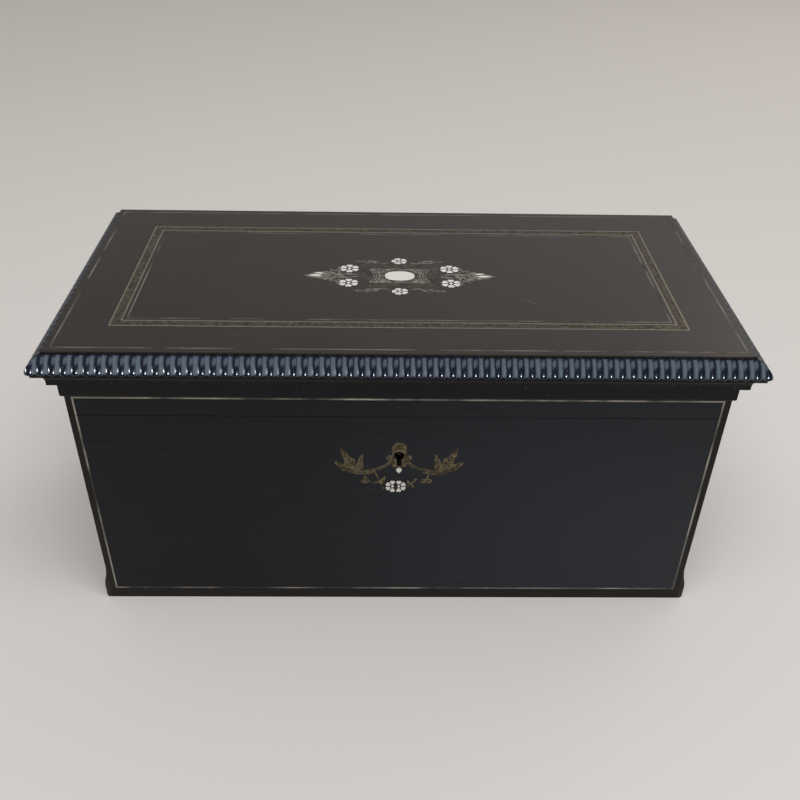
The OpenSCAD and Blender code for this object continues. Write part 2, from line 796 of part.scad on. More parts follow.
// Back spring under the bolt: a foot on the case wall and a bowed strip that ends close under the bar
module lock_spring() color(steel) {
  bow_r = 7.5;
  strip = 0.6;
  foot_w = 2;
  wall_x = -lock_w / 2 + lock_wall;
  crest_z = bar_z - bar_h - rim_gap;
  translate([0, 0, box_h]) front_plate(bolt_y - bolt_t, bolt_t) {
    translate([wall_x, crest_z - bow_r - 4]) square([foot_w, 6]);
    intersection() {
      difference() {
        translate([wall_x + foot_w + bow_r - 1, crest_z - bow_r]) circle(bow_r, $fn = 64);
        translate([wall_x + foot_w + bow_r - 1, crest_z - bow_r]) circle(bow_r - strip, $fn = 64);
      }
      translate([wall_x, crest_z - bow_r]) square([foot_w + 1.6 * bow_r, bow_r + 1]);
    }
  }
}

module lock_screw_set(room) {
  for (x = [-1, 1]) {
    translate([x * (lock_w / 2 + sel_w / 2) / 2, back_y - sel_d / 2, box_h]) one_screw(room);
  }
}

module lock_screws() color(steel) lock_screw_set(0);

// Link plate under the front rail, with two hooks that open to the left
module link_seat() {
  block(0, link_y - link_d / 2, lid_z - 1, sel_w, link_d, plate_t + 1);
}

module link_plate() color(steel) difference() {
  union() {
    block(0, link_y - link_d / 2, lid_z, sel_w, link_d, plate_t);
    translate([0, 0, box_h]) front_plate(bolt_y - bolt_t, bolt_t) for (x = hook_centres()) difference() {
      translate([x - hook_w / 2, rim_gap - hook_h]) square([hook_w, hook_h + plate_t / 2]);
      translate([x - hook_w / 2 - 1, tongue_top - tongue_h - pass_clear])
        square([hook_w - hook_web + 1, tongue_h + 2 * pass_clear]);
    }
  }
  link_screw_set(run_clear);
}

module link_screw_set(room) {
  for (x = [-1, 1])
    translate([x * (lock_w / 2 + sel_w / 2) / 2, link_y - link_d / 2, lid_z])
      mirror([0, 0, 1]) one_screw(room);
}

module link_plate_screws() color(steel) link_screw_set(0);

// Hinges: each has two box knuckles and one lid knuckle on a shared pin
knuckle_l = hinge_l / 3;
leaf_screw_x = [-hinge_l * 0.36, 0, hinge_l * 0.36];

// Room for both leaves and the knuckles in the wood and the veneers
module hinge_seats() {
  for (x = [-hinge_x, hinge_x]) {
    block(x, box_d / 2 - leaf_d / 2 + 1, box_h - leaf_t, hinge_l, leaf_d + 2, 2 * leaf_t + rim_gap);
  }
}

module knuckles(centres, grow_r, grow_l) {
  for (x = centres)
    translate([x - knuckle_l / 2 - grow_l, 0, 0]) rotate([0, 90, 0])
      cylinder(h = knuckle_l + 2 * grow_l, r = knuckle_r + grow_r, $fn = 48);
}

module hinge_leaf(own, other, level) {
  difference() {
    union() {
      translate([-hinge_l / 2, box_d / 2 - leaf_d - axis_y, level])
        cube([hinge_l, axis_y - box_d / 2 + leaf_d, leaf_t]);
      knuckles(own, 0, -run_clear);
    }
    knuckles(other, rim_gap, run_clear);
    translate([-hinge_l, 0, 0]) rotate([0, 90, 0]) cylinder(h = 2 * hinge_l, r = pin_r + run_clear, $fn = 48);
  }
}

module at_hinges() {
  for (x = [-hinge_x, hinge_x]) translate([x, axis_y, axis_z]) children();
}

module hinge_leaves_box() color(brass) difference() {
  at_hinges() hinge_leaf([-knuckle_l, knuckle_l], [0], -rim_gap / 2 - leaf_t);
  hinge_screw_set(run_clear);
}

module hinge_leaves_lid() color(brass) difference() {
  at_hinges() hinge_leaf([0], [-knuckle_l, knuckle_l], rim_gap / 2);
  hinge_screw_set(run_clear);
}

module hinge_pins() color(steel) at_hinges()
  rotate([0, 90, 0]) cylinder(h = hinge_l, r = pin_r, center = true, $fn = 48);

module hinge_screw_row() {
  for (x = leaf_screw_x) translate([x, box_d / 2 - leaf_d / 2 - axis_y, 0]) children();
}

module box_leaf_screws(room) {
  at_hinges() hinge_screw_row() translate([0, 0, box_h - axis_z]) one_screw(room);
}

module lid_leaf_screws(room) {
  at_hinges() hinge_screw_row() translate([0, 0, lid_z - axis_z]) mirror([0, 0, 1]) one_screw(room);
}

module hinge_screw_set(room) {
  box_leaf_screws(room);
  lid_leaf_screws(room);
}

module hinge_screws_box() color(brass) box_leaf_screws(0);

module hinge_screws_lid() color(brass) lid_leaf_screws(0);

front_board();
back_board();
left_board();
right_board();
bottom_board();
front_veneer();
back_veneer();
end_veneer(-1);  // left_veneer
end_veneer(1);  // right_veneer
foot_strip(-1);  // foot_strip_left
foot_strip(1);  // foot_strip_right
lining_long(-1);  // lining_front
lining_long(1);  // lining_back
lining_end(-1);  // lining_left
lining_end(1);  // lining_right
lining_floor();
front_string();
keyhole_inlay();
keyhole_flowers();
lock_case();
lock_cap();
lock_drill_pin();
lock_spring();
lock_screws();
lock_bolt();
hinge_leaves_box();
hinge_pins();
hinge_screws_box();
lid_board();
rail_front();
rail_back();
rail_end(-1);  // rail_left
rail_end(1);  // rail_right
top_veneer();
frieze_front();
frieze_back();
frieze_end(-1);  // frieze_left
frieze_end(1);  // frieze_right
on_side(0) ripple(box_w, box_d);  // ripple_front
on_side(180) ripple(box_w, box_d);  // ripple_back
on_side(270) ripple(box_d, box_w);  // ripple_left
on_side(90) ripple(box_d, box_w);  // ripple_right
on_side(0) cornice(box_w, box_d);  // cornice_front
on_side(180) cornice(box_w, box_d);  // cornice_back
on_side(270) cornice(box_d, box_w);  // cornice_left
on_side(90) cornice(box_d, box_w);  // cornice_right
edge_string();
wide_band();
inner_string();
lid_front_string();
cartouche_ground();
cartouche_brass();
cartouche_flowers();
cartouche_centre();
link_plate();
link_plate_screws();
hinge_leaves_lid();
hinge_screws_lid();
lid_lining();
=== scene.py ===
# Looks of an ebonised deed box: finer mouldings, engraved inlay, finishes, camera and light
import math

import bmesh
import bpy
import numpy as np
from mathutils import Matrix, Vector


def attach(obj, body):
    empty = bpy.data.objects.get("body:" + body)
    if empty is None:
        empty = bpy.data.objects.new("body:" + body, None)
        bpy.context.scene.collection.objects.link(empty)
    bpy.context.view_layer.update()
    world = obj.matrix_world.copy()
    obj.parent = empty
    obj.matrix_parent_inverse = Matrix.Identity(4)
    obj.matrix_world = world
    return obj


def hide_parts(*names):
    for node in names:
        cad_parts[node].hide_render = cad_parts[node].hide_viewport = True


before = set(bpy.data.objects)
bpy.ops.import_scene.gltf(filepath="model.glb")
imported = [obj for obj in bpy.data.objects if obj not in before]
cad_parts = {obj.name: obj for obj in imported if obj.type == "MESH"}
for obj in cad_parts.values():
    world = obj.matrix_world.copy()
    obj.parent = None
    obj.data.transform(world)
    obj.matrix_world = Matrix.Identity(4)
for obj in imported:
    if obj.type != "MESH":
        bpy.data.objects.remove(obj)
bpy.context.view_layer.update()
mm = 0.001

# Sizes of the box that the finer pieces follow, in millimetres
box = {
    "width": 374.8,
    "depth": 172.8,
    "rim": 149.0,
    "top": 195.0,
    "board": 185.0,
    "corniceFoot": 162.5,
    "keyholeDrop": 28.3,
    "cartoucheForward": 2.7,
}
# Each side's turn about the upright axis in degrees, its length and the depth across it
sides = {
    "front": (0, box["width"], box["depth"]),
    "back": (180, box["width"], box["depth"]),
    "left": (270, box["depth"], box["width"]),
    "right": (90, box["depth"], box["width"]),
}


# Colours and nodes

def linear(code):
    # sRGB hex to linear light: c / 12.92 up to 0.04045, and ((c + 0.055) / 1.055) ^ 2.4 above it
    c = np.array([int(code[i:i + 2], 16) for i in (1, 3, 5)]) / 255
    return tuple(np.where(c <= 0.04045, c / 12.92, ((c + 0.055) / 1.055) ** 2.4)) + (1.0,)


def fill(owner, node, inputs):
    # Sets a node's inputs to values, or links them to the sockets of other nodes
    for name, value in inputs.items():
        if isinstance(value, bpy.types.NodeSocket):
            owner.node_tree.links.new(value, node.inputs[name])
        else:
            node.inputs[name].default_value = value


def put(owner, kind, inputs, ramp=(), **settings):
    # Adds one node to a material or a world. A ramp is a list of places and colours
    node = owner.node_tree.nodes.new("ShaderNode" + kind)
    for name, value in settings.items():
        setattr(node, name, value)
    if ramp:
        stops = node.color_ramp.elements
        while len(stops) < len(ramp):
            stops.new(0.5)
        for stop, (place, colour) in zip(stops, ramp):
            stop.position = place
            stop.color = linear(colour)
    fill(owner, node, inputs)
    return node


def noise(mat, at, size, detail, distortion=0.0):
    # Noise whose spots are about this many millimetres across
    return put(mat, "TexNoise", {"Vector": at, "Scale": 1 / (size * mm), "Detail": detail,
                                 "Distortion": distortion}).outputs[0]


def stretched(mat, at, scale, turn=0.0):
    # Point scaled along each axis, where a small scale draws a pattern out, and turned about the upright axis
    return put(mat, "Mapping", {"Vector": at, "Rotation": (0, 0, turn), "Scale": scale}).outputs[0]


def distance(mat, at, place):
    # Length of the way from a place to the point
    return put(mat, "VectorMath", {0: at, 1: place}, operation="DISTANCE").outputs["Value"]


def spread(mat, value, span, results, **settings):
    # The first pair of numbers carried over to the second pair in a straight line, and held beyond its ends
    return put(mat, "MapRange", {0: value, 1: span[0], 2: span[1], 3: results[0], 4: results[1]},
               **settings).outputs[0]


def calc(owner, operation, *values, **settings):
    # One sum on up to three values
    return put(owner, "Math", dict(enumerate(values)), operation=operation, **settings).outputs[0]


def blend(mat, share, first, second):
    # first (1 - share) + second share, where each colour is a code or a socket
    first, second = (linear(colour) if isinstance(colour, str) else colour for colour in (first, second))
    return put(mat, "Mix", {0: share, 6: first, 7: second}, data_type="RGBA").outputs[2]


def tones(mat, value, ramp):
    # Colour that a value has on a ramp
    return put(mat, "ValToRGB", {0: value}, ramp).outputs[0]


def raised(mat, height, strength, depth, **settings):
    # Normals of a relief whose depth is in millimetres
    return put(mat, "Bump", {"Height": height, "Strength": strength, "Distance": depth * mm},
               **settings).outputs[0]


def newFinish(name):
    # A material with its shader and the point on the piece, in metres
    mat = bpy.data.materials.new(name)
    mat.use_nodes = True
    return mat, mat.node_tree.nodes["Principled BSDF"], put(mat, "TexCoord", {}).outputs["Object"]


def dress(mat, *nodes):
    # Gives CAD nodes one material in place of their own
    for name in nodes:
        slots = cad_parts[name].data.materials
        slots.clear()
        slots.append(mat)


def allRound(kind):
    # Names of the four nodes or pieces of one kind, one on each side
    return [kind + "_" + side for side in sides]


# Finishes

# What all the polished veneers have alike
polish = {
    "grainDetail": 3,
    "cloudDetail": 4,
    "speckSize": 1.6,
    "speckSpan": (0.74, 0.80),
    "hairSize": 1.1,
    "hairTurn": 0.5,
    "hairStretch": (0.02, 1, 1),
    "hairSpan": (0.79, 0.82),
    "streakSpan": (0.35, 0.75),
    "glossSpan": (0.3, 0.7),
    "grainRelief": 0.25,
    "reliefDepth": 0.1,
    "marks": "#9a958c",
}


def frenchPolish(name, look):
    # Pear veneer dyed black and French polished by hand: near black and smooth, with a cloudy lustre, faint
    # grain, dust and hairline scratches in the polish, a paler patch that is painted reflection of the light,
    # and a
    # flat colour on the low and outer margins: painted shade on the top veneer's edge, a browner worn margin
    # on the front
    mat, shader, point = newFinish(name)
    grain = noise(mat, stretched(mat, point, look["grainStretch"]), look["grain"], polish["grainDetail"])
    cloud = noise(mat, point, look["cloud"], polish["cloudDetail"])
    streak = spread(mat, grain, polish["streakSpan"], (0.0, look["grainShow"]))
    toned = blend(mat, streak, blend(mat, cloud, look["dark"], look["light"]), look["grainColour"])
    # painted reflection: the colour turns paler towards one place, the sheen on the right of the top and on
    # the front's lower right
    reflectionShare = spread(mat, distance(mat, point, look["paintedReflectionAt"]), (0.0, look["paintedReflectionReach"]), (1.0, 0.0),
                  interpolation_type="SMOOTHSTEP")
    withPaintedReflection = blend(mat, reflectionShare, toned, look["paintedReflection"])
    axes = put(mat, "SeparateXYZ", {0: point}).outputs
    # Below a height and beyond a width the colour is look['wax']: on the top this is painted shade, black on
    # the veneer's edge under the quirk; on the front it is a browner worn margin along the bottom and the
    # ends
    low = calc(mat, "LESS_THAN", axes["Z"], look["wornAndShadedBelow"])
    outer = calc(mat, "GREATER_THAN", calc(mat, "ABSOLUTE", axes["X"]), look["wornAndShadedBeyond"])
    wornAndShaded = blend(mat, calc(mat, "MAXIMUM", low, outer), withPaintedReflection, look["wax"])
    speck = noise(mat, point, polish["speckSize"], 1)
    dust = spread(mat, speck, polish["speckSpan"], (0.0, look["dust"]))
    hair = noise(mat, stretched(mat, point, polish["hairStretch"], polish["hairTurn"]), polish["hairSize"], 0)
    scratch = spread(mat, hair, polish["hairSpan"], (0.0, look["scratch"]))
    relief = calc(mat, "MULTIPLY_ADD", grain, polish["grainRelief"], cloud)
    fill(mat, shader, {
        "Base Color": blend(mat, calc(mat, "MAXIMUM", dust, scratch), wornAndShaded, polish["marks"]),
        "Roughness": spread(mat, cloud, polish["glossSpan"], look["gloss"]),
        "Normal": raised(mat, relief, look["relief"], polish["reliefDepth"]),
        "IOR": look["ior"],
        "Specular Tint": linear(look["shine"])})
    return mat


topPolish = frenchPolish("frenchPolishedVeneerTop", {
    "dark": "#171412", "light": "#231f1c", "grainColour": "#352e29", "grain": 0.9, "grainShow": 0.35,
    "grainStretch": (0.03, 1, 1), "cloud": 55, "dust": 0.16, "scratch": 0.07, "gloss": (0.30, 0.40),
    "relief": 0.12, "ior": 1.46, "shine": "#fff6ec",
    # painted reflection: a paler patch on the right of the top
    "paintedReflection": "#322f2c", "paintedReflectionAt": (0.17, 0.02, 0.195), "paintedReflectionReach": 0.36,
    # painted shade: the top veneer's edge below 194.8 mm is black, the shadow line under the quirk
    "wax": "#030303", "wornAndShadedBelow": 0.1948, "wornAndShadedBeyond": 1})
frontPolish = frenchPolish("frenchPolishedVeneerFront", {
    "dark": "#08090a", "light": "#101216", "grainColour": "#1d2026", "grain": 0.9, "grainShow": 0.3,
    "grainStretch": (0.03, 1, 1), "cloud": 60, "dust": 0.14, "scratch": 0.03, "gloss": (0.28, 0.38),
    "relief": 0.1, "ior": 1.31, "shine": "#e9edfb",
    # painted reflection: paler towards the front's lower right
    "paintedReflection": "#26282c", "paintedReflectionAt": (0.14, -0.086, 0.02), "paintedReflectionReach": 0.27,
    # a browner worn margin along the front's bottom and its ends
    "wax": "#17120a", "wornAndShadedBelow": 0.0088, "wornAndShadedBeyond": 0.1842})
endPolish = frenchPolish("frenchPolishedVeneerEnds", {
    "dark": "#0d0c0b", "light": "#1b1815", "grainColour": "#2a241e", "grain": 0.9, "grainShow": 0.35,
    "grainStretch": (1, 0.03, 1), "cloud": 45, "dust": 0.2, "scratch": 0.07, "gloss": (0.32, 0.46),
    "relief": 0.14, "ior": 1.38, "shine": "#fff4e8",
    "paintedReflection": "#1b1815", "paintedReflectionAt": (0, 0, 0.08), "paintedReflectionReach": 0.1,
    "wax": "#121112", "wornAndShadedBelow": -1, "wornAndShadedBeyond": 1})
mouldingPolish = frenchPolish("frenchPolishedMoulding", {
    "dark": "#070707", "light": "#121112", "grainColour": "#241f1b", "grain": 0.7, "grainShow": 0.3,
    "grainStretch": (0.05, 0.05, 1), "cloud": 30, "dust": 0.25, "scratch": 0.0, "gloss": (0.26, 0.38),
    "relief": 0.15, "ior": 1.28, "shine": "#eef0ff",
    "paintedReflection": "#121112", "paintedReflectionAt": (0, 0, 0.2), "paintedReflectionReach": 0.1,
    "wax": "#121112", "wornAndShadedBelow": -1, "wornAndShadedBeyond": 1})


def rippleWithPaintedReflection(look):
    # Ripple moulding under the same black polish, with painted reflection: the crests are coloured blue-black
    # and the hollows between the ribs pale blue-grey, standing in for the light that the ribs reflect, and
    # the crests are glossier.
    # Pale dust specks lie on top. The share of crest is stored on the moulding, and the painted tone and the
    # gloss follow that share plus a part of the noise
    mat, shader, point = newFinish("frenchPolishedRipple")
    crest = put(mat, "Attribute", {}, attribute_name="crest").outputs["Fac"]
    uneven = noise(mat, point, look["uneven"], 4)
    rubbed = calc(mat, "MULTIPLY_ADD", uneven, look["unevenShare"], crest)
    # painted reflection: the tone follows the crest share, blue-black crests and pale hollows
    paintedRippleTone = tones(mat, calc(mat, "DIVIDE", rubbed, look["whole"]), look["tones"])
    dust = spread(mat, noise(mat, point, look["speck"], 1), look["speckSpan"], (0.0, look["dust"]))
    fill(mat, shader, {
        "Base Color": blend(mat, dust, paintedRippleTone, look["dustColour"]),
        "Roughness": spread(mat, rubbed, look["glossSpan"], look["gloss"]),
        "Normal": raised(mat, uneven, look["relief"], polish["reliefDepth"]),
        "IOR": look["ior"],
        "Specular Tint": linear(look["shine"])})
    return mat


ripplePolish = rippleWithPaintedReflection({
    # painted reflection: pale hollows at low crest share, blue-black crests at high share
    "tones": [(0.45, "#535d66"), (0.6, "#343e4a"), (0.76, "#0c1628"), (1.0, "#050a16")],
    "uneven": 9, "unevenShare": 0.4, "whole": 1.2, "speck": 1.2, "speckSpan": (0.72, 0.80), "dust": 0.35,
    "dustColour": "#8d8f96", "glossSpan": (0.5, 1.0), "gloss": (0.5, 0.18), "relief": 0.15, "ior": 1.38,
    "shine": "#dfe9f6"})
print("ebonised finishes made")


# What all the brass has alike
brass = {
    "tarnishDetail": 6,
    "edgeShare": 0.45,
    "gloss": (0.55, 0.32),
    "filler": "#15110c",
    "fillerMetal": 0.1,
    "cutRelief": 0.4,
    "cutDepth": 0.12,
}


def brassMetal(mat, point, shader, look, cut=None, edge=None):
    # Dull olive sheet brass, paler where hands and cloths have rubbed it, with cuts that are filled with
    # black wax. Along an edge a painted highlight is added, paler and glossier: the rub there is 0.45 of the
    # noise plus the share of edge
    tarnish = noise(mat, stretched(mat, point, look["stretch"]), look["patch"], brass["tarnishDetail"])
    rubbed = spread(mat, tarnish, look["worn"], (0.0, 1.0))
    # painted highlight: along the band's edges the rub share rises, so the brass is paler and glossier there
    if edge is not None:
        rubbed = calc(mat, "MULTIPLY_ADD", rubbed, brass["edgeShare"], edge, use_clamp=True)
    colour = blend(mat, rubbed, look["tarnish"], look["bright"])
    fill(mat, shader, {"Roughness": spread(mat, rubbed, (0.0, 1.0), brass["gloss"]), "Metallic": 1})
    if cut is None:
        fill(mat, shader, {"Base Color": colour})
        return mat
    fill(mat, shader, {
        "Base Color": blend(mat, cut, colour, brass["filler"]),
        "Metallic": spread(mat, cut, (0.0, 1.0), (1.0, brass["fillerMetal"])),
        "Normal": raised(mat, cut, brass["cutRelief"], brass["cutDepth"], invert=True)})
    return mat


def inlaidBrass(name, look):
    # Sheet brass sawn, let in and rubbed level with the veneer
    mat, shader, point = newFinish(name)
    return brassMetal(mat, point, shader, look)


def engravedBand(look):
    # Sheet brass let in as a band, with a border line along each edge, a painted highlight beside each edge,
    # and a running vine on a punched ground.
    # t = min(X - |x|, Y - |y|) - w/2 is the way across the band from its middle, s runs along it, and the
    # vine is where t = swing sin(2 pi s / vine)
    mat, shader, point = newFinish("engravedBandBrass")
    axes = put(mat, "SeparateXYZ", {0: point}).outputs
    inX = calc(mat, "SUBTRACT", look["outerX"] * mm, calc(mat, "ABSOLUTE", axes[0]))
    inY = calc(mat, "SUBTRACT", look["outerY"] * mm, calc(mat, "ABSOLUTE", axes[1]))
    across = calc(mat, "SUBTRACT", calc(mat, "MINIMUM", inX, inY), look["width"] / 2 * mm)
    atEnd = calc(mat, "LESS_THAN", inX, inY)
    along = calc(mat, "MULTIPLY_ADD", atEnd, calc(mat, "SUBTRACT", axes[1], axes[0]), axes[0])
    turns = calc(mat, "SINE", calc(mat, "MULTIPLY", along, 2 * math.pi / (look["vine"] * mm)))
    swing = calc(mat, "MULTIPLY", turns, look["swing"] * mm)
    vine = calc(mat, "COMPARE", across, swing, look["vineHalf"] * mm)
    fromMiddle = calc(mat, "ABSOLUTE", across)
    border = calc(mat, "COMPARE", fromMiddle, look["border"] * mm, look["borderHalf"] * mm)
    # painted highlight: the band turns paler towards each edge
    edge = spread(mat, fromMiddle, (look["border"] * mm, look["edge"] * mm), (0.0, look["paintedEdgeHighlight"]))
    cell = put(mat, "TexVoronoi", {"Vector": point, "Scale": 1 / (look["punch"] * mm)}).outputs["Distance"]
    punched = calc(mat, "MULTIPLY", calc(mat, "LESS_THAN", cell, look["punchSize"]),
                   calc(mat, "LESS_THAN", fromMiddle, look["field"] * mm))
    lines = calc(mat, "MAXIMUM", calc(mat, "MAXIMUM", border, vine), punched)
    return brassMetal(mat, point, shader, look, calc(mat, "MULTIPLY", lines, look["cutShow"]), edge)


bandBrass = engravedBand({
    "tarnish": "#4b4437", "bright": "#aaa290", "patch": 2.2, "worn": (0.35, 0.75), "stretch": (1, 1, 1),
    "outerX": 162.9, "outerY": 64.6, "width": 6.5, "vine": 15, "swing": 1.3, "vineHalf": 0.24,
    "border": 2.1, "borderHalf": 0.14, "edge": 2.6, "paintedEdgeHighlight": 0.75, "field": 1.9, "punch": 0.95,
    "punchSize": 0.36, "cutShow": 0.85})
leafBrass = inlaidBrass("engravedLeafBrass", {
    "tarnish": "#453e2d", "bright": "#857a5e", "patch": 3, "worn": (0.35, 0.7), "stretch": (1, 1, 1)})
cartoucheBrass = inlaidBrass("engravedCartoucheBrass", {
    "tarnish": "#5b564e", "bright": "#cfc9bf", "patch": 3, "worn": (0.35, 0.7), "stretch": (1, 1, 1)})
stringBrass = inlaidBrass("drawnStringBrass", {
    "tarnish": "#4f4b45", "bright": "#aba79e", "patch": 9, "worn": (0.4, 0.72), "stretch": (0.4, 0.4, 0.4)})
frontStringBrass = inlaidBrass("drawnFrontStringBrass", {
    "tarnish": "#4a463e", "bright": "#b5b0a5", "patch": 10, "worn": (0.4, 0.72), "stretch": (0.4, 0.4, 0.4)})
hingeBrass = inlaidBrass("castHingeBrass", {
    "tarnish": "#6b5632", "bright": "#c2a565", "patch": 10, "worn": (0.35, 0.7), "stretch": (1, 1, 1)})
print("brass finishes made")


def plainFinish(name, colour, inputs):
    # One even colour, and constant inputs of the shader
    mat, shader = newFinish(name)[:2]
    fill(mat, shader, {"Base Color": linear(colour), **inputs})
    return mat


# Wax rubbed into a cut, and the dry bottom of a scratch: neither has any shine
wax = plainFinish("blackEngravingWax", "#17120d", {"Roughness": 0.6})
dryScratch = plainFinish("dryScratchInPolish", "#6f6a63", {"Roughness": 0.6})


def sawnPearl(look):
    # Mother-of-pearl sawn in thin leaves and polished: milky, with soft clouds of pink and green in it
    mat, shader, point = newFinish("sawnMotherOfPearl")
    layer = noise(mat, point, look["layer"], 2, look["curl"])
    fill(mat, shader, {
        "Base Color": tones(mat, layer, look["tones"]),
        "Normal": raised(mat, layer, look["relief"], look["reliefDepth"]),
        "Roughness": look["rough"],
        "IOR": look["ior"]})
    return mat


def stainedGround(look):
    # Brown stained veneer under wax: mottled dark brown, a little glossy
    mat, shader, point = newFinish("stainedVeneerGround")
    fill(mat, shader, {
        "Base Color": tones(mat, noise(mat, point, look["mottle"], 4), look["tones"]),
        "Roughness": look["rough"],
        "IOR": look["ior"]})
    return mat


def filedSteel(name, look):
    # Wrought steel filed by hand: grey, with fine file strokes and brown spots of old rust
    mat, shader, point = newFinish(name)
    stroke = noise(mat, stretched(mat, point, look["strokeStretch"]), look["stroke"], 2)
    rust = spread(mat, noise(mat, point, look["spot"], 5), look["spotSpan"], (0.0, look["rustShow"]))
    fill(mat, shader, {
        "Base Color": blend(mat, rust, look["clean"], look["rusty"]),
        "Metallic": spread(mat, rust, (0.0, look["rustShow"]), (1.0, look["rustMetal"])),
        "Roughness": spread(mat, stroke, look["glossSpan"], look["gloss"]),
        "Normal": raised(mat, stroke, look["relief"], look["reliefDepth"])})
    return mat


def planedWood(look):
    # Mahogany planed and left bare: straight red-brown grain with dark pores, dry and matt.
    # Round the keyhole, and only inside it, the wood is painted nearly black as painted shade in the hole
    mat, shader, point = newFinish("planedMahogany")
    grain = noise(mat, stretched(mat, point, look["grainStretch"]), look["grain"], 5, look["curl"])
    pore = noise(mat, stretched(mat, point, look["poreStretch"]), look["pore"], 1)
    openPore = spread(mat, pore, look["poreSpan"], (0.0, look["poreShow"]))
    clean = blend(mat, openPore, tones(mat, grain, look["tones"]), look["poreColour"])
    # painted shade: nearly black within 9 mm of the keyhole's middle, fading out by 12 mm
    keyholeShade = spread(mat, distance(mat, point, look["keyhole"]), look["keyholeShadeReach"], (look["keyholeShadeShow"], 0.0))
    fill(mat, shader, {
        "Base Color": blend(mat, keyholeShade, clean, look["keyholeShade"]),
        "Normal": raised(mat, openPore, look["relief"], look["reliefDepth"], invert=True),
        "Roughness": look["rough"]})
    return mat


def woollenCloth(look):
    # Woollen baize glued over the lining boards: dark red, with a plain weave hidden under a short nap.
    # The weave is the product of three waves, and its height is half the weave plus the nap's noise
    mat, shader, point = newFinish("woollenBaize")
    thread = {"Vector": point, "Scale": look["threads"], "Distortion": look["slub"], "Detail Scale": 3}
    waves = [put(mat, "TexWave", thread, bands_direction=axis).outputs[1] for axis in "XZY"]
    weave = calc(mat, "MULTIPLY", calc(mat, "MULTIPLY", waves[0], waves[1]), waves[2])
    tuft = calc(mat, "MULTIPLY_ADD", weave, look["weaveShare"], noise(mat, point, look["nap"], 6))
    fill(mat, shader, {
        "Base Color": tones(mat, tuft, look["tones"]),
        "Normal": raised(mat, tuft, look["relief"], look["reliefDepth"]),
        "Roughness": look["rough"],
        "Sheen Weight": look["sheen"],
        "Sheen Roughness": look["sheenRough"]})
    return mat


pearl = sawnPearl({
    "tones": [(0.30, "#b9b6ad"), (0.42, "#d6d3c9"), (0.50, "#d9cfc9"), (0.58, "#c9d0c2"), (0.70, "#e3e0d6")],
    "layer": 3.5, "curl": 1.2, "relief": 0.2, "reliefDepth": 0.1, "rough": 0.3, "ior": 1.56})
ground = stainedGround({
    "tones": [(0.35, "#1e1915"), (0.55, "#3a3129"), (0.72, "#4d4236")],
    "mottle": 4, "rough": 0.36, "ior": 1.46})
filed = {
    "stroke": 0.5, "strokeStretch": (0.08, 1, 1), "spot": 5, "spotSpan": (0.52, 0.68), "rustShow": 0.8,
    "rustMetal": 0.15, "glossSpan": (0.3, 0.7), "gloss": (0.32, 0.5), "relief": 0.3, "reliefDepth": 0.05}
steel = filedSteel("filedLockSteel", {"clean": "#85868a", "rusty": "#4a3424", **filed})
# painted shade: the lock's pin inside the keyhole is coloured near black
pinSteelInPaintedShade = filedSteel("shadedPinSteel", {"clean": "#17110e", "rusty": "#120a07", **filed})
wood = planedWood({
    "tones": [(0.3, "#3f2618"), (0.5, "#6a4429"), (0.72, "#855c3a")], "grain": 3, "curl": 0.4,
    "grainStretch": (0.05, 1, 0.6), "pore": 0.5, "poreStretch": (0.12, 1, 1), "poreSpan": (0.62, 0.7),
    # painted shade inside the keyhole
    "poreShow": 0.6, "poreColour": "#24150d", "keyhole": (0, -80 * mm, 118.5 * mm), "keyholeShade": "#120806",
    "keyholeShadeReach": (9 * mm, 12 * mm), "keyholeShadeShow": 0.93, "relief": 0.3, "reliefDepth": 0.1, "rough": 0.62})
# A scale of 130 draws the threads 1.2 mm apart, coarser than the real 0.6 mm, so that they show
cloth = woollenCloth({
    "tones": [(0.35, "#3b1216"), (0.6, "#5c1d24"), (0.9, "#763039")], "threads": 130, "slub": 1.5,
    "weaveShare": 0.5, "nap": 2.5, "relief": 0.6, "reliefDepth": 0.4, "rough": 0.95, "sheen": 0.35,
    "sheenRough": 0.5})

dress(topPolish, "top_veneer")
dress(mouldingPolish, "lid_board", *allRound("cornice"))
dress(ripplePolish, *allRound("ripple"))
dress(frontPolish, "front_veneer", "frieze_front")
dress(endPolish, "back_veneer", "left_veneer", "right_veneer", "frieze_back", "frieze_left", "frieze_right",
      "foot_strip_left", "foot_strip_right")
dress(frontStringBrass, "front_string", "lid_front_string")
dress(stringBrass, "edge_string", "inner_string")
dress(bandBrass, "wide_band")
dress(leafBrass, "keyhole_inlay")
dress(cartoucheBrass, "cartouche_brass")
dress(pearl, "keyhole_flowers", "cartouche_flowers", "cartouche_centre")
dress(ground, "cartouche_ground")
dress(pinSteelInPaintedShade, "lock_drill_pin")
dress(steel, "lock_case", "lock_cap", "lock_spring", "lock_screws", "lock_bolt",
      "link_plate", "link_plate_screws", "hinge_pins")
dress(hingeBrass, "hinge_leaves_box", "hinge_leaves_lid", "hinge_screws_box", "hinge_screws_lid")
dress(wood, "front_board", "back_board", "left_board", "right_board", "bottom_board", *allRound("rail"))
dress(cloth, *allRound("lining"), "lining_floor", "lid_lining")
print("CAD nodes dressed")


# Mouldings

